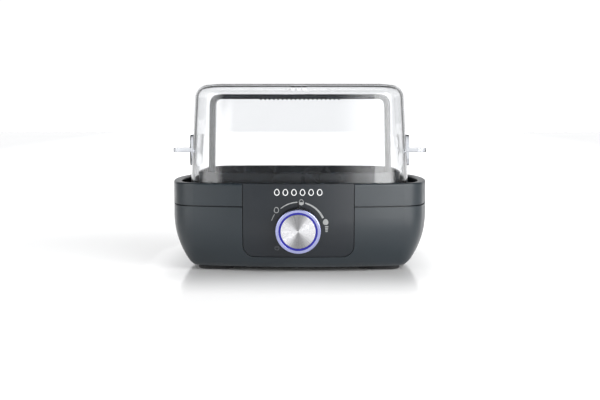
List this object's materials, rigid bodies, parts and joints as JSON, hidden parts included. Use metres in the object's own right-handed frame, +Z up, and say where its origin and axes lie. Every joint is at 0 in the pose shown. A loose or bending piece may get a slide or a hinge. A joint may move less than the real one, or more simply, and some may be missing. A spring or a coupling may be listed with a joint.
{
  "type": "egg cooker",
  "caption": "Steam egg cooker with a dark bowl-shaped base, heated water pan, egg rack with a bail handle, clear lid with side grips and a lit timer knob",
  "frame": {"origin": "on the table, under the middle of the whole object's box", "axes": "+X along the length to the right seen from the front, -Y the front with the knob, +Z up"},
  "size_m": [0.1918, 0.14, 0.1372],
  "materials": {
    "dark_shell": "satin moulded plastic, anthracite",
    "panel_black": "smooth black plastic with a printed scale",
    "clear": "clear moulded plastic",
    "rack_dark": "satin moulded plastic, dark grey",
    "handle_dark": "satin moulded plastic, dark grey",
    "pan_steel": "drawn stainless steel",
    "strap_steel": "zinc plated sheet",
    "screw_steel": "zinc plated",
    "spreader_alloy": "cast plate",
    "element_sheath": "annealed steel sheath",
    "ceramic_bead": "unglazed",
    "rubber_black": "matt",
    "gasket_silicone": "translucent silicone",
    "glow_blue": "translucent ring, lit blue",
    "trim_silver": "satin plated ring",
    "cap_alloy": "turned, radially brushed",
    "knob_black": "satin",
    "knob_inner": "plain",
    "board_green": "lacquered circuit board",
    "lamp_white": "clear",
    "pipe_clear": "clear light guide",
    "part_black": "plain",
    "part_blue": "plain",
    "block_white": "plain",
    "fuse_sleeve": "woven glass sleeve",
    "lead_brown": "silicone insulation",
    "lead_red": "silicone insulation",
    "lead_blue": "silicone insulation",
    "lead_green": "silicone insulation",
    "tab_brass": "stamped"
  },
  "bodies": {
    "base": {"housing": "dark_shell", "collar": "dark_shell", "control_panel": "panel_black", "base_cover": "part_black", "cover_screws": "screw_steel", "collar_screws": "screw_steel", "cord_gland": "rubber_black", "heating_pan": "pan_steel", "pan_gasket": "gasket_silicone", "heat_spreader": "spreader_alloy", "heating_element": "element_sheath", "element_terminals": "ceramic_bead", "thermostat": "part_black", "thermostat_bracket": "strap_steel", "bracket_screws": "screw_steel", "thermal_fuse": "fuse_sleeve", "temperature_sensor": "strap_steel", "earth_tab": "tab_brass", "pan_strap_left": "strap_steel", "pan_strap_right": "strap_steel", "strap_screws": "screw_steel", "control_board": "board_green", "board_screws": "screw_steel", "potentiometer": "part_black", "board_leds": "lamp_white", "light_pipe": "pipe_clear", "relay": "part_blue", "capacitor": "part_black", "buzzer": "part_black", "board_connector": "block_white", "terminal_block": "block_white", "lead_live": "lead_brown", "lead_switched": "lead_red", "lead_neutral": "lead_blue", "lead_earth": "lead_green", "lead_board": "lead_red", "foot_front_left": "rubber_black", "foot_rear_left": "rubber_black", "foot_front_right": "rubber_black", "foot_rear_right": "rubber_black"},
    "knob": {"knob_sleeve": "knob_black", "knob_trim_ring": "trim_silver", "knob_glow_ring": "glow_blue", "knob_cap": "cap_alloy", "knob_hub": "knob_inner", "knob_shaft": "strap_steel", "knob_clip": "strap_steel"},
    "egg_rack": {"egg_rack": "rack_dark", "rack_handle": "handle_dark"},
    "lid": {"lid": "clear"}
  },
  "joints": [
    {"name": "timer_knob", "type": "hinge", "parent": "base", "child": "knob", "pos_m": [0, -0.06053, 0.0326], "axis": [0, -0.9926, -0.1211], "range_deg": [-95, 127]},
    {"name": "rack_lift", "type": "slide", "parent": "base", "child": "egg_rack", "axis": [0, 0, 1], "range_m": [0, 0.06]},
    {"name": "lid_lift", "type": "slide", "parent": "egg_rack", "child": "lid", "axis": [0, 0, 1], "range_m": [0, 0.11]}
  ]
}
